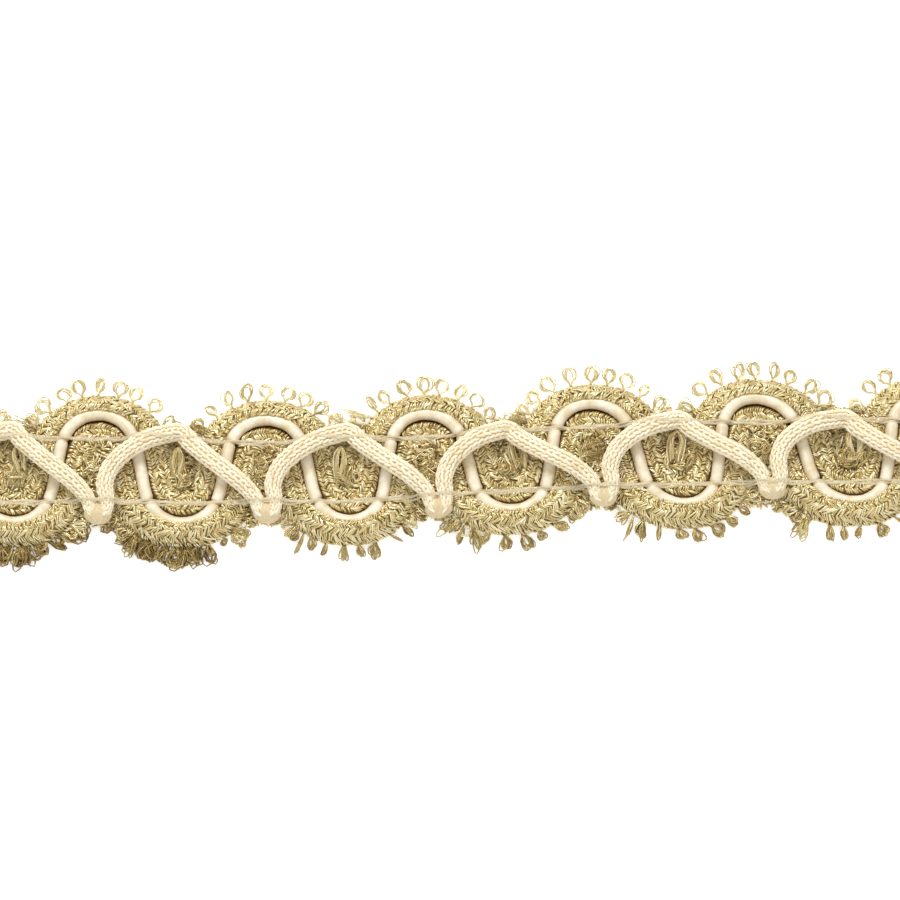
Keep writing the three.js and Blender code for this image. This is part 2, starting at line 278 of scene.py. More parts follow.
class Shells:
    """Gathers tubes into one mesh, each with its own cells on the bake's map."""

    def __init__(self):
        self.points, self.places, self.tones = [], [], []
        self.faces = {4: [], 3: []}
        self.count, self.cells = 0, 0

    def add(self, rings, poles, tones, stretch=0.3, chunk=12):
        """rings is (tubes, rings, sides, 3) and poles is (tubes, 2, 3) or None. tones holds a number for
        each tube or, where there are no poles, for each point of the rings. stretch is how fast the looks
        change along a tube, and chunk is the number of its steps that share a cell."""
        tones = np.asarray(tones, float)
        tubes, ring_count, sides, _ = rings.shape
        points = rings.reshape(tubes, -1, 3)
        middle = rings.mean(2, keepdims=True)
        steps = np.linalg.norm(np.diff(middle[:, :, 0], axis=1), axis=-1)
        travelled = np.concatenate([np.zeros((tubes, 1)), np.cumsum(steps, 1)], 1) * stretch
        along = np.broadcast_to(travelled[:, :, None], rings.shape[:3])
        spread = np.linalg.norm(rings - middle, axis=-1)
        turn = 2 * np.pi * np.arange(sides) / sides
        local = np.stack([along, spread * np.cos(turn), spread * np.sin(turn)], -1).reshape(points.shape)
        if poles is not None:
            points = np.concatenate([poles[:, :1], points, poles[:, 1:]], 1)
            ends = np.zeros((tubes, 2, 3))
            ends[:, 1, 0] = travelled[:, -1]
            local = np.concatenate([ends[:, :1], local, ends[:, 1:]], 1)
        if tones.ndim == 1:
            local = local + tones[:, None, None] * TONE_SHIFT
            tones = np.repeat(tones, points.shape[1])
        chunks = math.ceil((ring_count + 1 if poles is not None else ring_count - 1) / chunk)
        base = self.count + np.arange(tubes)[:, None, None] * points.shape[1]
        first_cell = self.cells + np.arange(tubes)[:, None] * chunks
        for faces, steps in strip_faces(ring_count, sides, poles is not None):
            corners = faces.shape[1]
            which = np.minimum(steps[..., 0].min(1) // chunk, chunks - 1)
            uv = np.stack([(steps[..., 0] - which[:, None] * chunk) / chunk, steps[..., 1] / sides], -1)
            uv = np.broadcast_to(uv, (tubes, *uv.shape)).reshape(-1, corners, 2)
            cell = (first_cell + which).ravel()
            self.faces[corners].append(((base + faces).reshape(-1, corners), uv, cell))
        self.points.append(points.reshape(-1, 3))
        self.places.append(local.reshape(-1, 3))
        self.tones.append(tones.ravel())
        self.count += points.shape[1] * tubes
        self.cells += chunks * tubes

    def build(self, name, material):
        groups = self.faces[4] + self.faces[3]
        corners = np.concatenate([c.ravel() for c, _, _ in groups])
        sizes = np.concatenate([np.full(len(c), c.shape[1]) for c, _, _ in groups])
        side = math.ceil(math.sqrt(self.cells))
        uv = []
        for _, local_uv, cell in groups:
            corner = np.stack([cell % side, cell // side], -1)[:, None, :]
            uv.append(((corner + CELL_INSET + (1 - 2 * CELL_INSET) * local_uv) / side).reshape(-1, 2))
        mesh = bpy.data.meshes.new(name)
        mesh.vertices.add(self.count)
        mesh.loops.add(len(corners))
        mesh.polygons.add(len(sizes))
        fill(mesh.vertices, "co", np.vstack(self.points) * MM)
        fill(mesh.loops, "vertex_index", corners, np.int32)
        fill(mesh.polygons, "loop_start", np.concatenate([[0], np.cumsum(sizes)[:-1]]), np.int32)
        fill(mesh.polygons, "use_smooth", np.ones(len(sizes)), bool)
        fill(mesh.uv_layers.new(name="OFBake").uv, "vector", np.vstack(uv))
        strand = mesh.attributes.new("strand_place", "FLOAT_VECTOR", "POINT")
        fill(strand.data, "vector", np.vstack(self.places))
        tone = mesh.attributes.new("strand_tone", "FLOAT", "POINT")
        fill(tone.data, "value", np.concatenate(self.tones))
        mesh.update(calc_edges=True)
        mesh.validate()
        mesh.materials.append(material)
        return linked(name, mesh)


def oval_rings(paths, ups, half_widths, half_heights, sides):
    """Rings of an oval section round every point of each path. The half sizes are numbers or arrays."""
    tangents = unit(np.gradient(paths, axis=1))
    lefts = unit(np.cross(ups, tangents))
    overs = np.cross(tangents, lefts)
    angles = 2 * np.pi * np.arange(sides) / sides
    wide = (np.asarray(half_widths)[..., None] * np.cos(angles))[..., None] * lefts[:, :, None]
    high = (np.asarray(half_heights)[..., None] * np.sin(angles))[..., None] * overs[:, :, None]
    return paths[:, :, None] + wide + high


def add_spindles(shells, paths, ups, half_widths, sides, tones, flat=1.0):
    """Closed strands that end in points: the first and last points of each path are its ends."""
    rings = oval_rings(paths, ups, half_widths, half_widths * flat, sides)
    shells.add(rings[:, 1:-1], paths[:, [0, -1]], tones, chunk=paths.shape[1] - 1)


def cut_ends(piece, inset=0.0):
    """Cuts a piece straight near both ends of the braid, and closes it there."""
    mesh = bmesh.new()
    mesh.from_mesh(piece.data)
    for x, side in ((CUT_LEFT + inset, -1), (CUT_RIGHT - inset, 1)):
        everything = mesh.verts[:] + mesh.edges[:] + mesh.faces[:]
        plane = dict(plane_co=(x * MM, 0, 0), plane_no=(side, 0, 0))
        bmesh.ops.bisect_plane(mesh, geom=everything, clear_outer=True, **plane)
    rim = [e for e in mesh.edges if e.is_boundary]
    bmesh.ops.holes_fill(mesh, edges=rim, sides=0)
    bmesh.ops.triangulate(mesh, faces=[f for f in mesh.faces if len(f.verts) > 4])
    mesh.to_mesh(piece.data)
    mesh.free()


def held_in(points, inset):
    """Points of strands, moved in where they would stand past the braid's cut ends."""
    points[..., 0] = np.clip(points[..., 0], CUT_LEFT + inset, CUT_RIGHT - inset)
    return points


# Materials


def srgb(text):
    """A colour written as in a paint chart, as linear light."""
    parts = [int(text[i : i + 2], 16) / 255 for i in (0, 2, 4)]
    return tuple(p / 12.92 if p <= 0.04045 else ((p + 0.055) / 1.055) ** 2.4 for p in parts) + (1.0,)


class Look:
    """A node material around one Principled shader."""

    def __init__(self, name, **numbers):
        self.material = bpy.data.materials.new(name)
        self.material.use_nodes = True
        self.tree = self.material.node_tree
        self.tree.nodes.clear()
        self.shader = self.tree.nodes.new("ShaderNodeBsdfPrincipled")
        output = self.tree.nodes.new("ShaderNodeOutputMaterial")
        self.feed(output.inputs["Surface"], self.shader.outputs[0])
        for socket, value in numbers.items():
            self.set(socket.replace("_", " "), value)

    def feed(self, socket, value):
        if isinstance(value, bpy.types.NodeSocket):
            self.tree.links.new(value, socket)
        else:
            socket.default_value = value

    def set(self, name, value):
        """Feeds one of the shader's inputs."""
        self.feed(self.shader.inputs[name], value)

    def node(self, kind, output, inputs, **settings):
        """One output of a new node, whose inputs are given by name or by place."""
        node = self.tree.nodes.new("ShaderNode" + kind)
        for key, value in settings.items():
            setattr(node, key, value)
        for socket, value in inputs.items():
            self.feed(node.inputs[socket], value)
        return node.outputs[output]

    def attribute(self, name, output):
        return self.node("Attribute", output, {}, attribute_name=name)

    def noise(self, vector, scale, detail=2.0, roughness=0.5):
        inputs = dict(Vector=vector, Scale=scale, Detail=detail, Roughness=roughness)
        return self.node("TexNoise", "Fac", inputs)

    def math(self, operation, a, b, c=0.0):
        return self.node("Math", 0, {0: a, 1: b, 2: c}, operation=operation)

    def ramp(self, value, stops):
        """Colours between stops, each of which is a position and a colour."""
        colour = self.node("ValToRGB", "Color", {"Fac": value})
        elements = colour.node.color_ramp.elements
        while len(elements) < len(stops):
            elements.new(0.5)
        for element, (position, shade) in zip(elements, stops):
            element.position = position
            element.color = shade
        return colour

    def mix(self, share, a, b):
        return self.node("Mix", 2, {"Factor": share, 6: a, 7: b}, data_type="RGBA")

    def range(self, *numbers):
        """A value, its range and the range that it is moved to."""
        return self.node("MapRange", 0, dict(enumerate(numbers)))

    def bump(self, height, strength, distance):
        inputs = dict(Strength=strength, Distance=distance * MM, Height=height)
        self.set("Normal", self.node("Bump", 0, inputs))


def metallic_yarn(name, dark, middle, light, glint="F0BC7C", glint_share=0.68):
    """Yarn wrapped in fine metallic film: lines of film along the strand, and small warm glints."""
    look = Look(name, Metallic=0.6, Specular_IOR_Level=0.6)
    strand = look.attribute("strand_place", "Vector")
    tone = look.attribute("strand_tone", "Fac")
    films = look.noise(strand, 7.0, 2.0, 0.6)
    level = look.math("MULTIPLY_ADD", tone, 0.62, look.math("MULTIPLY", films, 0.5))
    colour = look.ramp(level, [(0.12, srgb(dark)), (0.5, srgb(middle)), (0.86, srgb(light))])
    spots = look.noise(strand, 2.3, 1.0, 0.5)
    warm = look.range(spots, glint_share, glint_share + 0.06, 0.0, 0.7)
    look.set("Base Color", look.mix(warm, colour, srgb(glint)))
    look.set("Roughness", look.range(films, 0.3, 0.7, 0.2, 0.42))
    look.bump(films, 0.9, 0.09)
    return look.material


gold_look = metallic_yarn("gold_film_yarn", "9C8046", "DDCA90", "FFF6D2")
# The plait's inner body is a darker copy of the gold yarn, as painted shade in the gaps between stitches.
gold_core_shaded_look = metallic_yarn("gold_core_yarn_painted_shade", "664E22", "94793F", "B49C5C")
picot_look = metallic_yarn("gold_loop_film", "8E7C42", "D2C084", "F8EEC4")
# A darker copy of the loop film, as painted shade on the loops along and under the lower edge.
shaded_loop_look = metallic_yarn("gold_loop_film_painted_shade", "5A4422", "B49C60", "EEE2AC")


def satin_thread():
    """Satin thread in patches of two tones, wrapped round the cord, with painted shade on its sides,
    underside and notches.
    """
    look = Look("satin_gimp_thread", Roughness=0.3, Sheen_Weight=0.15, Sheen_Roughness=0.4, Anisotropic=0.4)
    strand = look.attribute("strand_place", "Vector")
    inputs = {"Vector": strand, "Scale": 1.1, "Distortion": 1.2, "Detail Scale": 0.6}
    wraps = look.node("TexWave", "Fac", inputs, wave_type="BANDS", bands_direction="X", wave_profile="SIN")
    patches = look.noise(strand, 0.55, 2.0)
    colour = look.ramp(patches, [(0.32, srgb("DCCBA6")), (0.68, srgb("F5EDDA"))])
    colour = look.mix(look.math("MULTIPLY", wraps, 0.22), colour, srgb("D6C69E"))
    # Low tones, on the cord's sides and underside and at its notches, mix in a tan painted shade.
    shade_share = look.range(look.attribute("strand_tone", "Fac"), 0.35, 0.95, 0.9, 0.0)
    look.set("Base Color", look.mix(shade_share, colour, srgb("B8945C")))
    look.bump(wraps, 0.35, 0.05)
    return look.material


def knit_yarn(name, shadow, light, sheen=0.3, alpha=1.0):
    """Soft matt yarn with fine fibres."""
    look = Look(name, Roughness=0.6, Sheen_Weight=sheen, Sheen_Roughness=0.5, Alpha=alpha)
    strand = look.attribute("strand_place", "Vector")
    tone = look.attribute("strand_tone", "Fac")
    fibres = look.noise(strand, 6.0, 2.0, 0.6)
    level = look.math("MULTIPLY_ADD", tone, 0.5, look.math("MULTIPLY", fibres, 0.5))
    look.set("Base Color", look.ramp(level, [(0.15, srgb(shadow)), (0.75, srgb(light))]))
    look.bump(fibres, 0.6, 0.06)
    return look.material


satin_look = satin_thread()
knit_look = knit_yarn("knitted_cream_yarn", "E8D4A6", "FFF5DC")
# A tan copy of the cream yarn, as painted shade in the gaps between stitches.
knit_core_shaded_look = knit_yarn("knitted_cream_core_painted_shade", "C4A673", "E2CA9A", 0.1)
# A darker copy of the cream yarn, as painted shade on the hairpin lumps.
knit_pressed_shaded_look = knit_yarn("knitted_cream_pressed_painted_shade", "C2AA78", "F0E0BC", 0.2)
binding_look = knit_yarn("pale_binding_thread", "E9DAB2", "FAF0D2", 0.1, 0.42)


# Gold plait

PLAIT_COLUMNS = 14
COLUMN_WIDTH = 2 * PROFILE_HALF / PLAIT_COLUMNS
STITCH_PITCH = 0.86
STITCH_SLANT = math.radians(40)
STITCH_PLIES = 2
PLY_SPACING = 0.29
PLY_HALF_WIDTH = 0.19
# Where the skin stretches a column wider than this, two narrower columns take its place
WIDEST_COLUMN = 1.75
NARROW_PITCH = 0.68
STEEPEST_SLANT = 1.15
LOWEST_STITCH = 0.22
# Bare width beside the satin cord's inner side at a scallop's tip
CREVICE = 1.0
# How far the core lies under the skin, above the back and inside the cut ends
CORE_DEPTH = 0.26
CORE_UNDERSIDE = 0.17
CORE_INSET = 0.3
CUT_STRAND_PITCH = 0.46
BACK_COLUMNS = 6
BACK_COLUMN_WIDTH = 1.28
# Number of points at which a line along the whole braid is measured
FINE_STEPS = 6000


def between_cuts(x, inset):
    """Whether places along the braid lie between its cut ends. Of a row of places, all have to."""
    inside = (x > CUT_LEFT + inset) & (x < CUT_RIGHT - inset)
    return inside.all(1) if inside.ndim > 1 else inside


def plait_core():
    """The inner body of the plait, under its stitches, coloured dark as painted shade between them."""
    t = np.linspace(-0.03, LAST_TURN + 0.03, 480)
    w = np.linspace(PROFILE_HALF, -PROFILE_HALF, 27)
    rings = np.stack([plait_skin(t, v, CORE_DEPTH) for v in w], 1)
    # Its underside lies a little up, so that the stitches of the back show on it.
    rings[..., 2] = np.maximum(rings[..., 2], CORE_UNDERSIDE)
    # Beside the satin cord's inner side, near each tip, the core is darker as painted shade in the crevice.
    wave = np.cos(np.pi * t)[:, None]
    inwards = (satin_offset(t)[:, None] - w[None, :]) * np.sign(wave)
    shade_share = ease(inwards, 0.2, 0.9) * (1 - ease(inwards, 2.0, 2.8)) * np.abs(wave)
    tones = 0.5 - np.where(wave > 0, 0.35, 0.85) * shade_share
    shells = Shells()
    # Sections run from left to right over the top, so they are turned round to face out.
    shells.add(rings[None, :, ::-1], None, tones[None, :, ::-1])
    piece = shells.build("gold_plait_core", gold_core_shaded_look)
    cut_ends(piece, CORE_INSET)
    return piece


def cut_strands():
    """Blunt ends of the plait's strands at its two cuts."""
    shells, random = Shells(), np.random.default_rng(41)
    w = np.linspace(-PROFILE_HALF, PROFILE_HALF, 400)
    for tip, x, side in ((0, CUT_LEFT, -1), (LAST_TURN, CUT_RIGHT, 1)):
        skin = plait_skin(tip, w)
        middle = plait_middle(tip)[1]
        ends = []
        for across in np.arange(-5.2, 5.3, CUT_STRAND_PITCH):
            near = np.abs(skin[:, 1] - middle - across) < 0.15
            if near.any():
                top = skin[near, 2].max() - 0.2
                ends += [(middle + across, up) for up in np.arange(0.28, top, CUT_STRAND_PITCH)]
        ends = np.array(ends) + random.normal(0, 0.05, (len(ends), 2))
        ends[:, 1] = np.maximum(ends[:, 1], 0.27)
        depth = np.array([1.3, 0.8, 0.14, 0.04])[None, :] + random.uniform(0, 0.12, (len(ends), 1))
        paths = np.zeros((len(ends), 4, 3))
        paths[..., 0] = x - side * depth
        paths[..., 1:] = ends[:, None, :]
        add_spindles(shells, paths, UP, 0.25, 5, random.random(len(ends)))
    return shells.build("gold_plait_cut_strands", gold_look)


def width_across(t, w, half):
    """How wide the skin really is between two sides of a column."""
    right, left = (np.clip(w + a * half, -PROFILE_HALF, PROFILE_HALF) for a in (-1, 1))
    return np.linalg.norm(plait_skin(t, left) - plait_skin(t, right), axis=1)


def column_stitches(shells, w, half, sign, pitch, wanted, random):
    """One lengthwise column of slanting stitches, more tangled on the inner side of each scallop."""
    fine = np.linspace(-0.02, LAST_TURN + 0.02, FINE_STEPS)
    travelled = travel(plait_skin(fine, w))
    places = np.arange(0.2 + pitch * random.random(), travelled[-1], pitch)
    places = places + random.normal(0, 0.13 * pitch, len(places))
    t = np.interp(places, travelled, fine)
    from_cord = np.abs(w - satin_offset(t))
    near_tip = np.abs(np.cos(np.pi * t))
    inner_side = (w - satin_offset(t)) * np.cos(np.pi * t) < 0
    keep = from_cord > 0.5 + CREVICE * inner_side * near_tip
    keep &= between_cuts(plait_skin(t, w)[:, 0], 0.1) & wanted(t)
    kept = (a[keep] for a in (t, places, from_cord, near_tip, inner_side))
    t, places, from_cord, near_tip, inner_side = kept
    count = len(t)
    if not count:
        return
    tangle = ease(-w * np.cos(np.pi * t), 0.8, 4.0)
    slant = sign * STITCH_SLANT + random.normal(0, 1, count) * (0.22 + 0.36 * tangle)
    slant = np.clip(slant, -STEEPEST_SLANT, STEEPEST_SLANT)
    shade = 0.4 * (1 - ease(from_cord, 0.5, 1.5))
    shade += 0.4 * inner_side * near_tip * (1 - ease(from_cord, 1.6, 2.6))
    stitch_tone = random.random(count) - 0.12 * tangle - shade
    steps = np.array([-1.0, -0.62, 0.0, 0.62, 1.0])
    arch = np.array([-0.26, -0.05, 0.02, -0.05, -0.26])
    half_length = width_across(t, w, half) / 2
    scale = pitch / STITCH_PITCH
    for ply in range(STITCH_PLIES):
        shift = (ply - (STITCH_PLIES - 1) / 2) * PLY_SPACING * scale + random.normal(0, 0.06, count)
        turned = np.clip(slant + random.normal(0, 0.12, count), -STEEPEST_SLANT, STEEPEST_SLANT)
        ahead = steps[None, :] * (half_length * np.tan(turned) * 0.8)[:, None]
        ahead = ahead + shift[:, None] / np.cos(STITCH_SLANT)
        at = np.interp(places[:, None] + ahead, travelled, fine)
        wide = np.broadcast_to(np.clip(w + steps * half, -PROFILE_HALF, PROFILE_HALF), at.shape)
        normal = plait_normal(at, wide)
        uneven = random.normal(0, 1, (count, 1)) * (0.07 + 0.08 * tangle[:, None])
        paths = plait_skin(at, wide) + normal * (arch[None, :] * scale - 0.1 + uneven)[..., None]
        paths[..., 2] = np.maximum(paths[..., 2], LOWEST_STITCH)
        tones = np.clip(0.5 * stitch_tone + 0.5 * random.random(count), 0, 1)
        width = PLY_HALF_WIDTH * (0.3 + 0.7 * scale) * STRAND_SWELL
        add_spindles(shells, held_in(paths, 0.05), normal, width, 5, tones, flat=1.05)


def plait_stitches():
    """The plait's lengthwise columns, in two pieces."""
    pieces = []
    half = COLUMN_WIDTH * 0.72
    for name, columns in (("left", range(0, 7)), ("right", range(7, 14))):
        shells = Shells()
        random = np.random.default_rng(11 + columns[0])
        for column in columns:
            w = PROFILE_HALF - (column + 0.5) * COLUMN_WIDTH
            sign = 1 if column % 2 else -1

            def is_wide(t, w=w):
                return width_across(t, w, half) > WIDEST_COLUMN

            column_stitches(shells, w, half, sign, STITCH_PITCH, lambda t: ~is_wide(t), random)
            for part in (-1, 1):
                at = w + part * COLUMN_WIDTH / 4
                column_stitches(shells, at, half * 0.58, part, NARROW_PITCH, is_wide, random)
        pieces.append(shells.build("gold_plait_stitches_" + name, gold_look))
    return pieces


def plait_back():
    """Flat slanting stitches on the plait's back."""
    shells, random = Shells(), np.random.default_rng(31)
    fine = np.linspace(0, LAST_TURN, FINE_STEPS)
    middle, _, left = plait_frame(fine)
    steps = np.array([-1.0, 0.0, 1.0])
    heights = np.array([0.2, 0.12, 0.2])
    # Each strand is a flat lozenge, with its two rings halfway from its ends to its middle.
    lozenge = np.array([[1, 0, 0], [0.5, 0.5, 0], [0, 0.5, 0.5], [0, 0, 1]])
    for column in range(BACK_COLUMNS):
        w = ((BACK_COLUMNS - 1) / 2 - column) * BACK_COLUMN_WIDTH
        travelled = travel(middle + left * w)
        places = np.arange(0.5, travelled[-1] - 0.4, 1.0)
        sign = 1 if column % 2 else -1
        at = np.interp(places[:, None] + sign * steps[None, :] * 0.3, travelled, fine)
        centre, _, aside = plait_frame(at)
        paths = centre + aside * (w + steps * 0.75)[None, :, None] + UP * heights[None, :, None]
        paths = lozenge @ paths[between_cuts(paths[:, 1, 0], 0.45)]
        add_spindles(shells, paths, UP, 0.4, 4, random.random(len(paths)), flat=0.3)
    return shells.build("gold_plait_back_stitches", gold_look)


# Picot loops

PICOT_SPACING = 2.85
# Scallops with loops crowded under them, and the stretch that they take up in turns from the tip
CROWDED = ((1, -0.3, 0.36), (3, -0.34, 0.12))
CROWDED_COUNT = 42
# How far a scallop's picots reach from its tip, in turns
PICOT_SPAN = 0.41
# The lower scallops up to this one have short picots, coloured darker as painted shade
LAST_CURLED = 3
LOWEST_LOOP = 0.14
# Bundles that have come undone into fine filaments: the scallop, and the place from its tip in turns
FRAYED = np.array([
    [2, -0.3], [4, -0.33], [6, -0.24], [6, -0.29], [6, -0.34],
    [6, -0.39], [8, -0.31], [8, -0.36], [10, -0.34],
])
FRAYED_LOW = np.array([
    [3, -0.19], [5, -0.2], [7, -0.17], [7, -0.21], [7, -0.25], [9, -0.18], [9, -0.22], [11, -0.2],
])
# Bundles that hang inside the lower scallops: aside from the tip, tilt, length and half width
ARCHES = (
    (0.4, 0.2, 4.6, 1.1),
    (-0.6, -0.1, 5.2, 1.2),
    (-1.4, -0.1, 5.6, 1.0),
    (0.6, 0.15, 5.4, 1.5),
    (-1.0, -0.12, 5.8, 1.6),
    (0.3, 0.08, 6.0, 1.5),
)


def smooth(controls, samples):
    """Points evenly spaced by number on a smooth curve through controls, which is (curves, points, axes)."""
    before = 2 * controls[:, :1] - controls[:, 1:2]
    after = 2 * controls[:, -1:] - controls[:, -2:-1]
    padded = np.concatenate([before, controls, after], 1)
    place_on = np.linspace(0, controls.shape[1] - 1, samples)
    k = np.minimum(place_on.astype(int), controls.shape[1] - 2)
    return curve_between(*(padded[:, k + i] for i in range(4)), (place_on - k)[None, :, None])


def loop_shapes(length, width, neck, samples, random, wobble):
    """Outlines of loops in their own plane, as places along the edge and out from it."""
    # Shares of the neck's and the loop's width, and of its length, from the root to near the tip
    neck_share = np.array([1.0, 0.85, 0.0, 0.0, 0.0])
    width_share = np.array([0.0, 0.0, 0.38, 0.5, 0.38])
    length_share = np.array([0.0, 0.2, 0.36, 0.61, 0.87])
    root = np.array([-0.55, 0.0, 0.0, 0.0, 0.0])
    a = neck_share * neck[:, None] + width_share * width[:, None]
    b = length_share * length[:, None] + root
    along = np.concatenate([-a, 0 * length[:, None], a[:, ::-1]], 1)
    out = np.concatenate([b, length[:, None], b[:, ::-1]], 1)
    controls = np.stack([along, out], -1)
    return smooth(controls + random.normal(0, wobble, controls.shape) * np.array([1.0, 0.7]), samples)


def about(middle, spread):
    """A trait that is spread normally about a middle."""
    return lambda random, count: middle + random.normal(0, spread, count)


def evenly(low, high):
    """A trait that is spread evenly between two limits."""
    return lambda random, count: random.uniform(low, high, count)


def edge_loops(shells, random, t, side, traits, films, wobble=0.05, splay=0.1, spread=0.09):
    """Loops of fine metallic film on one edge of the plait, at places t. Each trait is a number or is drawn
    at random, and films is the number of a loop's films, their thickness and their samples."""
    count = len(t)
    if not count:
        return
    loops = {}
    for name, trait in traits.items():
        loops[name] = trait(random, count) if callable(trait) else np.full(count, trait)
    film_count, thickness, samples = films
    middle, along, left = plait_frame(t)
    side = np.broadcast_to(side, count)
    root = middle + left * (side * (PLAIT_HALF_WIDTH - 0.1 + edge_swell(t, side)))[:, None]
    heading, length = loops["heading"][:, None], loops["length"]
    outward = left * side[:, None] * np.cos(heading) + along * np.sin(heading)
    tangent = np.cross(outward, UP)
    for film in range(film_count):
        long = length * (1 + random.normal(0, 0.6 * spread, count))
        wide = loops["width"] * (1 + random.normal(0, spread, count))
        shape = loop_shapes(long, wide, loops["neck"], samples, random, wobble)
        lean = random.normal(0, splay, count) + (film - (film_count - 1) / 2) * 0.05
        roll = (loops["twist"] + random.normal(0, 0.18, count))[:, None]
        out = shape[..., 1]
        aside = shape[..., 0] + np.sin(lean)[:, None] * np.maximum(out, 0)
        climb = loops["rise"][:, None] * np.clip(out / length[:, None], 0, 1) ** 1.3
        up = loops["height"][:, None] + climb + aside * np.sin(roll) + random.normal(0, 0.05, (count, 1))
        paths = root[:, None] + tangent[:, None] * (aside * np.cos(roll))[..., None]
        paths = paths + outward[:, None] * out[..., None]
        paths[..., 2] = np.maximum(up, LOWEST_LOOP)
        keep = between_cuts(paths[..., 0], -0.3)
        paths = paths[keep]
        if len(paths):
            ups = UP + random.normal(0, 0.05, (len(paths), 1, 3))
            tones = np.clip(loops["tone"][keep] + random.normal(0, 0.14, len(paths)), 0, 1)
            add_spindles(shells, paths, ups, thickness, 4, tones)


def outer_side(k):
    """The side of the plait that faces out at a scallop's tip: 1 is its left."""
    return 1.0 if k % 2 == 0 else -1.0


def on_braid(t):
    """Those of some places that lie on the cut length."""
    return t[(t > 0.02) & (t < LAST_TURN - 0.02)]


def picot_places(k, random):
    """Places of one scallop's picots, evenly spaced along its outer edge."""
    fine = on_braid(np.linspace(k - PICOT_SPAN, k + PICOT_SPAN, 400))
    middle, _, left = plait_frame(fine)
    side = outer_side(k)
    travelled = travel(middle + left * (side * (PLAIT_HALF_WIDTH + edge_swell(fine, side)))[:, None])
    count = max(1, round(travelled[-1] / PICOT_SPACING))
    places = (np.arange(count) + 0.5) * travelled[-1] / count + random.normal(0, 0.16, count)
    return np.interp(places, travelled, fine)


def upper_picots():
    """Pale open rings on short necks, along the upper scallops."""
    shells, random = Shells(), np.random.default_rng(51)
    for k in range(0, LAST_TURN + 1, 2):
        t = picot_places(k, random)
        steep = np.abs(t - k) / PICOT_SPAN
        traits = dict(
            heading=about(0, 0.12), length=about(2.85 - 0.6 * steep**3, 0.2),
            width=about(2.05 - 0.5 * steep**2, 0.18), neck=0.15,
            twist=about(0, 0.4), height=0.9, rise=about(0.25, 0.3), tone=0.66,
        )
        edge_loops(shells, random, t, outer_side(k), traits, (6, 0.1, 15), spread=0.1)
    return shells.build("picot_loops_upper", picot_look)


def lower_picots():
    """Shorter loops that have turned on edge, along the lower scallops, coloured darker as painted shade."""
    shells, random = Shells(), np.random.default_rng(61)
    for k in range(1, LAST_TURN + 1, 2):
        # The curled loops take a lower tone, darker still as painted shade.
        length, tone = (1.5, 0.28) if k <= LAST_CURLED else (2.0, 0.45)
        traits = dict(
            heading=about(0.12, 0.3), length=about(length, 0.3), width=about(1.3, 0.25), neck=0.22,
            twist=about(0, 0.9), height=0.75, rise=about(-0.3, 0.25), tone=tone,
        )
        t = picot_places(k, random)
        edge_loops(shells, random, t, outer_side(k), traits, (8, 0.12, 13), spread=0.2, splay=0.16)
    return shells.build("picot_loops_lower", shaded_loop_look)


def crowded_loops():
    """Loops that are bunched and curled under two of the lower scallops, coloured dark as painted shade."""
    shells, random = Shells(), np.random.default_rng(63)
    traits = dict(
        heading=about(0, 0.45), length=evenly(1.8, 3.3), width=evenly(1.3, 2.4), neck=0.35,
        twist=about(0, 0.9), height=evenly(0.4, 1.1), rise=about(-0.2, 0.25), tone=evenly(0.0, 0.45),
    )
    for k, start, end in CROWDED:
        t = on_braid(k + random.uniform(start, end, CROWDED_COUNT))
        edge_loops(shells, random, t, -1.0, traits, (6, 0.12, 11), wobble=0.1, spread=0.15)
    return shells.build("picot_loops_crowded", shaded_loop_look)


def frayed_bundles():
    """Bundles of loose filaments where picots have come undone."""
    shells, random = Shells(), np.random.default_rng(67)
    # Length, width, lean, rise and tone of the bundles, and thickness and splay of their filaments
    above = 4.3, 0.6, -0.45, 0.3, 0.6, 0.06, 0.25
    below = 3.1, 1.1, 0.35, -0.25, 0.2, 0.12, 0.1
    for table, numbers in ((FRAYED, above), (FRAYED_LOW, below)):
        length, width, lean, rise, tone, thickness, splay = numbers
        k, from_tip = table[:, 0], table[:, 1]
        traits = dict(
            heading=about(lean, 0.2), length=about(length, 0.4), width=width, neck=0.2,
            twist=about(0, 0.6), height=1.0, rise=about(rise, 0.2), tone=tone,
        )
        side = np.where(k % 2 == 0, 1.0, -1.0)
        uneven = dict(wobble=splay / 2, splay=splay, spread=0.35)
        edge_loops(shells, random, k + from_tip, side, traits, (9, thickness, 13), **uneven)
    return shells.build("picot_loops_frayed", picot_look)


def inner_loops():
    """Bundles of film that arch and tangle inside each scallop."""
    shells, random = Shells(), np.random.default_rng(71)
    traits = dict(
        heading=about(0, 0.6), length=evenly(1.6, 3.8), width=evenly(0.8, 1.9), neck=evenly(0.15, 0.5),
        twist=about(0, 0.8), height=evenly(0.4, 1.7), rise=about(0.25, 0.5), tone=evenly(0.0, 0.8),
    )
    for k in range(LAST_TURN + 1):
        t = on_braid(k + random.uniform(-0.44, 0.44, 20))
        edge_loops(shells, random, t, -outer_side(k), traits, (4, 0.12, 11), wobble=0.12)
    return shells.build("picot_loops_inner", gold_look)


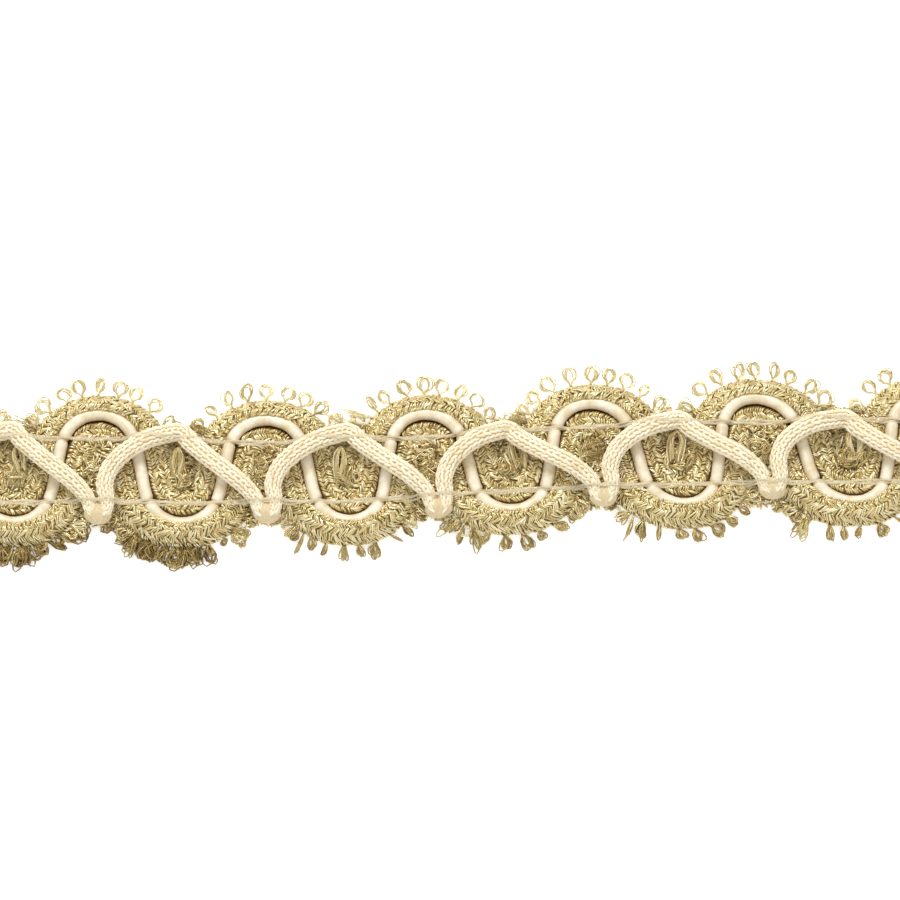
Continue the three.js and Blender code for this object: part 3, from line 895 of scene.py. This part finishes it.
def arched_bundles():
    """In each lower scallop a long bundle of loops that stands up, hangs down and opens like a drop."""
    shells, random = Shells(), np.random.default_rng(77)
    films, samples = 9, 17
    # From one foot over the top to the other: the last four places mirror the first four
    down_share = np.array([1.0, 0.72, 0.4, 0.12])
    along_share = np.array([0.5, 0.75, 1.0, 0.8])
    height = np.array([1.7, 2.25, 2.6, 2.8, 2.85, 2.8, 2.6, 2.25, 1.7])
    for k, (aside, tilt, length, open_by) in zip(range(1, LAST_TURN, 2), ARCHES):
        top = place(k, 3.1)
        grow = (np.linspace(0.25, 1.0, films) + random.normal(0, 0.07, films))[:, None]
        down = length * (0.75 + 0.25 * grow) * down_share
        along = open_by * grow * along_share
        a = np.concatenate([-along, 0 * grow, along[:, ::-1]], 1)
        b = np.concatenate([-down, 0.5 * grow, -down[:, ::-1]], 1)
        x = top[0] + aside + a * math.cos(tilt) - b * math.sin(tilt)
        y = top[1] + a * math.sin(tilt) + b * math.cos(tilt)
        controls = np.stack(np.broadcast_arrays(x, y, height), -1)
        paths = smooth(controls + random.normal(0, 0.06, controls.shape), samples)
        tones = np.clip(0.45 + random.normal(0, 0.3, films), 0, 1)
        add_spindles(shells, paths, UP, 0.11, 5, tones)
    return shells.build("picot_loops_arched", gold_look)


def valley_loops():
    """Loops that overlap in the gaps between neighbouring scallops, so that nothing shows through."""
    shells, random = Shells(), np.random.default_rng(91)
    traits = dict(
        heading=about(0, 0.5), length=evenly(1.8, 3.0), width=evenly(0.8, 1.7), neck=evenly(0.15, 0.5),
        twist=about(0, 0.7), height=evenly(0.4, 1.5), rise=about(0.0, 0.35), tone=evenly(0.1, 0.75),
    )
    for k in range(LAST_TURN + 1):
        for edge in (-1, 1):
            t = on_braid(k + edge * random.uniform(0.3 if k % 2 == 0 else 0.2, 0.56, 15))
            edge_loops(shells, random, t, outer_side(k), traits, (4, 0.12, 11), wobble=0.12)
    return shells.build("picot_loops_valley", gold_look)


# Reach of the upper and lower gaps from near the braid's middle line outwards, how much they open and the
# number of their stitches
UPPER_GAP, LOWER_GAP = (-0.5, 7.4, 1.5, 190), (0.0, -9.2, 2.5, 250)


def gap_core():
    """The body under the stitches in the gaps between neighbouring scallops, coloured dark as painted shade.
    """
    shells = Shells()
    share = np.linspace(0, 1, 12)
    fullness = np.sqrt(np.clip(1 - (2 * share - 1) ** 6, 0, 1))
    for k in range(LAST_TURN + 1):
        start, end, opening, _ = LOWER_GAP if k % 2 == 0 else UPPER_GAP
        path = place(k, start + (end * 0.93 - start) * share, 0.72)
        wide = (1.6 + 0.8 * opening * share**1.5) * fullness
        rings = held_in(oval_rings(path[None], UP, wide, 0.36 * fullness, 12), CORE_INSET)
        shells.add(rings[:, 1:-1], path[None, [0, -1]], [0.4])
    return shells.build("gold_plait_gap_core", gold_core_shaded_look)


def gap_stitches():
    """Crowded short stitches that close the gaps between neighbouring scallops, above and below."""
    shells, random = Shells(), np.random.default_rng(101)
    arch = np.array([-0.3, -0.07, 0.0, -0.07, -0.3])
    for k in range(LAST_TURN + 1):
        start, end, opening, n = LOWER_GAP if k % 2 == 0 else UPPER_GAP
        share = random.random(n) ** 0.8
        centre = place(k, start + (end - start) * share)
        centre[:, 0] += random.uniform(-1, 1, n) * (1.9 + opening * share**1.5)
        heading = random.uniform(0, np.pi, n)
        direction = np.stack([np.cos(heading), np.sin(heading), 0 * heading], -1)
        half = random.uniform(0.45, 0.85, n)[:, None] * STRAND_STEPS
        paths = centre[:, None] + direction[:, None] * half[..., None]
        height = 1.35 - 0.45 * share + random.normal(0, 0.25, n)
        paths[..., 2] = np.maximum(height[:, None] + arch, 0.2)
        paths = paths[between_cuts(paths[..., 0], 0.1)]
        tones = np.clip(random.uniform(-0.1, 0.9, len(paths)), 0, 1)
        add_spindles(shells, paths, UP, PLY_HALF_WIDTH * STRAND_SWELL, 5, tones)
    return shells.build("gold_plait_gap_stitches", gold_look)


# Satin cord

NOTCH_DEPTH = 0.3
NOTCH_HALF_LENGTH = 0.32
SATIN_SQUASH = 0.1
SATIN_STEP = 0.26
SATIN_SIDES = 16


def satin_line(t):
    """The satin cord's middle line."""
    middle, _, left = plait_frame(t)
    height = SATIN_HEIGHT - SATIN_SINK * np.cos(np.pi * t) ** 2
    return middle + left * satin_offset(t)[:, None] + UP * height[:, None]


def satin_cord():
    """The smooth cord, drawn in where the binding threads cross it and pressed flatter at the tips."""
    fine = np.linspace(-0.03, LAST_TURN + 0.03, 8000)
    travelled = travel(satin_line(fine))
    count = int(travelled[-1] / SATIN_STEP)
    distance = np.linspace(0, travelled[-1], count)
    t = np.interp(distance, travelled, fine)
    path = satin_line(t)
    turn = t + SCALLOP_SWELL * np.sin(2 * np.pi * t)
    across = (path[:, 1] + ORIGIN_ACROSS - column_at(DRIFT, turn)) / column_at(REACH, turn)
    notch = np.zeros(count)
    for level in BINDING_ROWS:
        for crossing in np.nonzero(np.diff(np.sign(across - level)))[0]:
            off = (distance - distance[crossing]) / NOTCH_HALF_LENGTH
            notch = np.maximum(notch, np.exp(-(off**2)))
    uneven = 1 + 0.014 * np.sin(distance * 2.1) + 0.012 * np.sin(distance * 5.3)
    radius = SATIN_RADIUS * uneven - NOTCH_DEPTH * notch
    high = radius * (1 - SATIN_SQUASH * np.cos(np.pi * t) ** 2)
    rings = oval_rings(path[None], UP, radius, high, SATIN_SIDES)
    # Tones fall from the cord's top to its sides and underside, and in the notches, for painted shade.
    around = 0.5 + 0.5 * np.sin(2 * np.pi * np.arange(SATIN_SIDES) / SATIN_SIDES)
    tones = around[None, :] - 0.7 * notch[:, None]
    shells = Shells()
    shells.add(rings, None, tones[None], stretch=1.0)
    piece = shells.build("satin_gimp_cord", satin_look)
    cut_ends(piece)
    return piece


# Knitted cord

COURSE_PITCH = 1.08
KNIT_LEGS = 12
HAIRPIN_TURN, HAIRPIN_ACROSS = 0.02, -8.0
PINCHED = 0.7
LEG_REACH = 0.86
LEG_HALF_WIDTH = 0.26
LEG_HALF_THICKNESS = 0.22
LEG_SLANT = math.radians(19)


def knit_controls():
    """The points that the knitted cord is led through, its width share and its pinch there."""
    tips = [(-2, KNIT_ROUTE[-2:])] + [(tip, KNIT_ROUTE) for tip in range(0, LAST_TURN + 1, 2)]
    rows = np.vstack([np.column_stack([np.full(len(r), tip), r]) for tip, r in tips])
    turn = rows[:, 0] + rows[:, 1]
    inside = np.abs(turn - LAST_TURN / 2) < LAST_TURN / 2 + KNIT_OVERRUN
    rows, turn = rows[inside], turn[inside]
    points = place(turn, rows[:, 2], rows[:, 3])
    points[:, 0] += column_at(SLIDE, turn)
    points[:, 1] += column_at(LIFT, turn)
    # 1 at a hairpin, 0 away from it
    pinch = np.exp(-(((rows[:, 2] - HAIRPIN_ACROSS) / 1.4) ** 2)) * (np.abs(rows[:, 1]) < 0.2)
    pinch = pinch * (rows[:, 0] > 0) * (rows[:, 0] < LAST_TURN)
    return points, rows[:, 4], pinch


def centripetal(points, samples_per_span):
    """A centripetal spline through points, with its ends mirrored."""
    p = np.vstack([2 * points[0] - points[1], points, 2 * points[-1] - points[-2]])
    out = []
    for i in range(1, len(p) - 2):
        a, b, c, d = p[i - 1 : i + 3]
        knots = np.sqrt([np.linalg.norm(b - a), np.linalg.norm(c - b), np.linalg.norm(d - c)])
        x, y, z = np.maximum(knots, 1e-4)
        before = ((b - a) / x - (c - a) / (x + y) + (c - b) / y) * y
        after = ((c - b) / y - (d - b) / (y + z) + (d - c) / z) * y
        f = np.linspace(0, 1, samples_per_span, endpoint=False)[:, None]
        square = -3 * b + 3 * c - 2 * before - after
        cube = 2 * b - 2 * c + before + after
        out.append(b + before * f + square * f**2 + cube * f**3)
    out.append(p[-2][None])
    return np.vstack(out)


def knit_path():
    """The knitted cord's middle line by distance along it, with its width share and pinch."""
    points, widths, pinch = knit_controls()
    per_span = 24
    line = centripetal(points, per_span)
    at = np.arange(len(line)) / per_span
    width = np.interp(at, np.arange(len(widths)), widths)
    squeeze = np.interp(at, np.arange(len(pinch)), pinch)
    return line, travel(line), width, squeeze


KNIT_LINE, KNIT_TRAVELLED, KNIT_WIDTH, KNIT_PINCH = knit_path()


def along_knit(distance, values):
    """Values that go with the knitted cord's middle line, at distances along it."""
    return np.interp(distance, KNIT_TRAVELLED, values)


def knit_middle(distance):
    return np.stack([along_knit(distance, axis) for axis in KNIT_LINE.T], -1)


def on_knit(distance, angle, raise_by):
    """Points on the knitted cord's skin, and their outward directions."""
    step = 0.25
    inside = np.clip(distance, step, KNIT_TRAVELLED[-1] - step)
    tangent = unit(knit_middle(inside + step) - knit_middle(inside - step))
    left = unit(np.cross(UP, tangent))
    over = np.cross(tangent, left)
    squeeze = along_knit(distance, KNIT_PINCH)
    wide = along_knit(distance, KNIT_WIDTH) * KNIT_HALF_WIDTH * (1 - 0.5 * squeeze) + raise_by
    high = KNIT_HALF_THICKNESS * (1 - 0.55 * squeeze) + raise_by
    c, s = np.cos(angle), np.sin(angle)
    point = knit_middle(distance) + left * (wide * c)[..., None] + over * (high * s)[..., None]
    outward = unit(left * (c / wide)[..., None] + over * (s / high)[..., None])
    return point, outward


def knit_core():
    """The smooth inner body of the knitted cord, under its stitches, coloured tan as painted shade in the
    gaps between them.
    """
    distance = np.linspace(0.01, KNIT_TRAVELLED[-1] - 0.01, int(KNIT_TRAVELLED[-1] / 0.7))
    sides = 14
    angle = 2 * np.pi * np.arange(sides) / sides
    point, _ = on_knit(distance[:, None] + 0 * angle, 0 * distance[:, None] + angle, -0.25)
    shells = Shells()
    shells.add(point[None], None, [0.5])
    piece = shells.build("knitted_cord_core", knit_core_shaded_look)
    cut_ends(piece, 0.12)
    return piece


def knit_stitches():
    """Pointed legs of the knitted stitches, in lengthwise pairs, left off where the cord is pinched."""
    shells, random = Shells(), np.random.default_rng(131)
    courses = np.arange(0.3, KNIT_TRAVELLED[-1] - 0.3, COURSE_PITCH)
    arch = np.array([-0.26, -0.08, 0.0, -0.06, -0.24])
    swell = np.array([0.35, 0.85, 1.0, 0.85, 0.35])
    for leg in range(KNIT_LEGS):
        wale, side = divmod(leg, 2)
        distance = courses + COURSE_PITCH * 0.5 * (wale % 2) + random.normal(0, 0.04, len(courses))
        middle_angle = 2 * np.pi * (leg + 0.5) / KNIT_LEGS + random.normal(0, 0.03, len(courses))
        slant = (1 if side else -1) * math.tan(LEG_SLANT) * LEG_REACH / 1.43
        distance = distance[:, None] + STRAND_STEPS * LEG_REACH
        point, outward = on_knit(distance, middle_angle[:, None] + STRAND_STEPS * slant, arch - 0.12)
        keep = between_cuts(point[:, 2, 0], 0.1) & (along_knit(distance[:, 2], KNIT_PINCH) < PINCHED)
        point, outward = held_in(point[keep], 0.05), outward[keep]
        tones = np.clip(0.55 + random.normal(0, 0.22, len(point)), 0, 1)
        flat = LEG_HALF_THICKNESS / LEG_HALF_WIDTH
        add_spindles(shells, point, outward, LEG_HALF_WIDTH * swell, 6, tones, flat)
    return shells.build("knitted_cord_stitches", knit_look)


def hairpin_lumps():
    """Smooth flat lumps where the knitted cord doubles back and its two legs are pressed together, in a
    darker copy of the cream yarn as painted shade.
    """
    shells = Shells()
    # Places from the top to the bottom of the lump, and its half width, half thickness and height there
    down = np.array([0.0, 0.9, 1.7, 2.35, 2.9, 3.35, 3.5])
    half_width = np.array([1.3, 1.8, 2.2, 2.15, 1.75, 1.1, 0.2])
    half_thickness = np.array([0.7, 1.0, 1.1, 1.0, 0.8, 0.5, 0.12])
    middle_height = np.array([2.7, 2.7, 2.6, 2.45, 2.25, 2.1, 2.05])
    at = down[-1] * np.sin(np.linspace(0, np.pi / 2, 20))
    tables = half_width, half_thickness, middle_height
    wide, high, middle = (np.interp(at, down, table)[:, None] for table in tables)
    sides, ridges = 84, 14
    angle = 2 * np.pi * np.arange(sides) / sides
    crease = 1 - 0.2 * np.exp(-((np.cos(angle) / 0.2) ** 2)) * (np.sin(angle) > 0)
    for k in range(2, LAST_TURN, 2):
        turn = k + HAIRPIN_TURN
        bottom = place(turn, HAIRPIN_ACROSS)
        x = bottom[0] + column_at(SLIDE, turn)
        top = bottom[1] + column_at(LIFT, turn) + down[-1] - 0.9
        # Each section is a closed ring across the lump, seen from its lower end.
        ridge = 1 + 0.07 * np.sin(ridges * angle + 2.2 * np.sin(at * 1.1 + k)[:, None])
        across = x + 0.12 * np.sin(at * 1.3 + k)[:, None] + wide * np.cos(angle) * ridge
        height = middle + high * np.sin(angle) * crease * ridge
        rings = np.stack(np.broadcast_arrays(across, top - at[:, None], height), -1)
        poles = np.stack([rings[0].mean(0) + [0, 0.2, 0], rings[-1].mean(0) - [0, 0.03, 0]])
        shells.add(rings[None, :, ::-1], poles[None], [0.35], chunk=21)
    return shells.build("knitted_cord_hairpins", knit_pressed_shaded_look)


# Binding threads


def hit_tree(pieces):
    """The surfaces of pieces, ready to be met by rays."""
    points, faces, base = [], [], 0
    for piece in pieces:
        mesh = piece.data
        co = np.zeros(len(mesh.vertices) * 3, np.float32)
        mesh.vertices.foreach_get("co", co)
        points.append(co.reshape(-1, 3))
        mesh.calc_loop_triangles()
        corners = np.zeros(len(mesh.loop_triangles) * 3, np.int32)
        mesh.loop_triangles.foreach_get("vertices", corners)
        faces.append(corners.reshape(-1, 3) + base)
        base += len(mesh.vertices)
    return BVHTree.FromPolygons(np.vstack(points).tolist(), np.vstack(faces).tolist())


def binding_threads(carriers):
    """Two rows of thread that hold the cords down, laid over what is under them."""
    tree = hit_tree(carriers)
    shells = Shells()
    x = np.arange(CUT_LEFT + 0.1, CUT_RIGHT - 0.1, 0.3)
    apart = np.abs(x[:, None] - x[None, :])
    fine = np.linspace(-0.2, LAST_TURN + 0.2, 4000)
    turn = np.interp(x, column_at(ALONG, fine) - ORIGIN_ALONG, fine)
    for level in BINDING_ROWS:
        middle_y = place(turn, level)[:, 1]
        for strand in range(BINDING_STRANDS):
            phase = strand * 2 * np.pi / BINDING_STRANDS
            swing = 0.2 * (strand - 1) + 0.1 * np.sin(x * 0.9 + phase + level)
            y = middle_y + swing + 0.08 * np.sin(x * 0.31 + strand * 2.0)
            ground = []
            for px, py in zip(x, y):
                hit = tree.ray_cast(Vector((px * MM, py * MM, 0.05)), Vector((0, 0, -1)))
                ground.append(hit[0].z / MM if hit[0] is not None else 0.6)
            ground = np.array(ground)
            # The thread runs from height to height, falling no faster than this from each.
            taut = np.max(np.where(apart < 4, ground[None, :] - BINDING_FALL * apart, -9), axis=1)
            taut = np.convolve(np.pad(taut, 2, mode="edge"), np.ones(5) / 5, mode="valid")
            z = np.maximum(taut, ground) + 0.05 + 0.03 * np.cos(x * 0.9 + phase)
            path = np.stack([x, y, z], -1)[None]
            rings = oval_rings(path, UP, BINDING_HALF_WIDTH, BINDING_HALF_WIDTH * 0.4, 6)
            shells.add(rings[:, 1:-1], path[:, [0, -1]], [0.4 + 0.1 * strand])
    return shells.build("binding_thread_rows", binding_look)


# Pieces and what they stand for

core = plait_core()
stitches = plait_stitches()
satin = satin_cord()
knit = [knit_core(), knit_stitches(), hairpin_lumps()]
binding = binding_threads([core, *stitches, satin, *knit])
loops = [upper_picots(), lower_picots(), crowded_loops(), frayed_bundles()]
loops += [inner_loops(), arched_bundles(), valley_loops()]

gold_pieces = [core, *stitches, plait_back(), gap_core(), gap_stitches(), cut_strands(), *loops]
for piece in gold_pieces:
    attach(piece, "root")
    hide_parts("gold_plait")
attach(satin, "root")
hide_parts("satin_cord")
for piece in knit:
    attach(piece, "root")
    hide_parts("knit_cord")
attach(binding, "root")


# Floor, light and camera


def floor():
    """A pale surface that the braid lies on."""
    mesh = bpy.data.meshes.new("pale_floor")
    half, height = 2.0, -0.00005
    corners = [(x * half, y * half, height) for x, y in ((-1, -1), (1, -1), (1, 1), (-1, 1))]
    mesh.from_pydata(corners, [], [(0, 1, 2, 3)])
    glow = dict(Emission_Color=(1, 1, 1, 1), Emission_Strength=0.45)
    look = Look("pale_floor", Roughness=0.9, Specular_IOR_Level=0.2, **glow)
    grain = look.noise(look.node("TexCoord", "Object", {}), 40.0, 2.0)
    stops = [(0.3, (0.93, 0.93, 0.93, 1)), (0.7, (0.95, 0.95, 0.95, 1))]
    look.set("Base Color", look.ramp(grain, stops))
    mesh.materials.append(look.material)
    made = linked("pale_floor", mesh)


def area_light(name, location, size, power):
    """A round light that points at the middle of the braid."""
    data = bpy.data.lights.new(name, "AREA")
    data.shape = "DISK"
    data.size = size
    data.energy = power
    made = linked(name, data)
    made.location = location
    made.rotation_euler = (-Vector(location)).to_track_quat("-Z", "Y").to_euler()


def camera():
    """Looks down at the braid's face at the photograph's angle, through a long lens."""
    elevation, roll = math.radians(75), math.radians(1.303)
    target = Vector((3.75, 2.512, 0)) * MM
    frame_width, lens, sensor = 150 * MM, 150.0, 36.0
    right0 = Vector((1, 0, 0))
    up0 = Vector((0, math.sin(elevation), math.cos(elevation)))
    back = right0.cross(up0)
    right = right0 * math.cos(roll) - up0 * math.sin(roll)
    up = right0 * math.sin(roll) + up0 * math.cos(roll)
    data = bpy.data.cameras.new("camera")
    data.lens, data.sensor_width = lens, sensor
    data.clip_start, data.clip_end = 0.05, 10
    made = linked("camera", data)
    where = target + back * (frame_width * lens / sensor)
    made.matrix_world = Matrix.Translation(where) @ Matrix((right, up, back)).transposed().to_4x4()
    bpy.context.scene.camera = made


floor()
area_light("key_light", (-0.08, 0.42, 0.5), 0.3, 2.8)
area_light("fill_light", (0.1, -0.45, 0.55), 0.5, 0.9)
camera()
world = bpy.data.worlds.new("soft_studio")
world.use_nodes = True
background = world.node_tree.nodes["Background"].inputs
background["Color"].default_value = (1.0, 1.0, 1.0, 1.0)
background["Strength"].default_value = 0.7
bpy.context.scene.world = world
bpy.context.scene.view_settings.view_transform = "Standard"
bpy.context.scene.view_settings.look = "None"
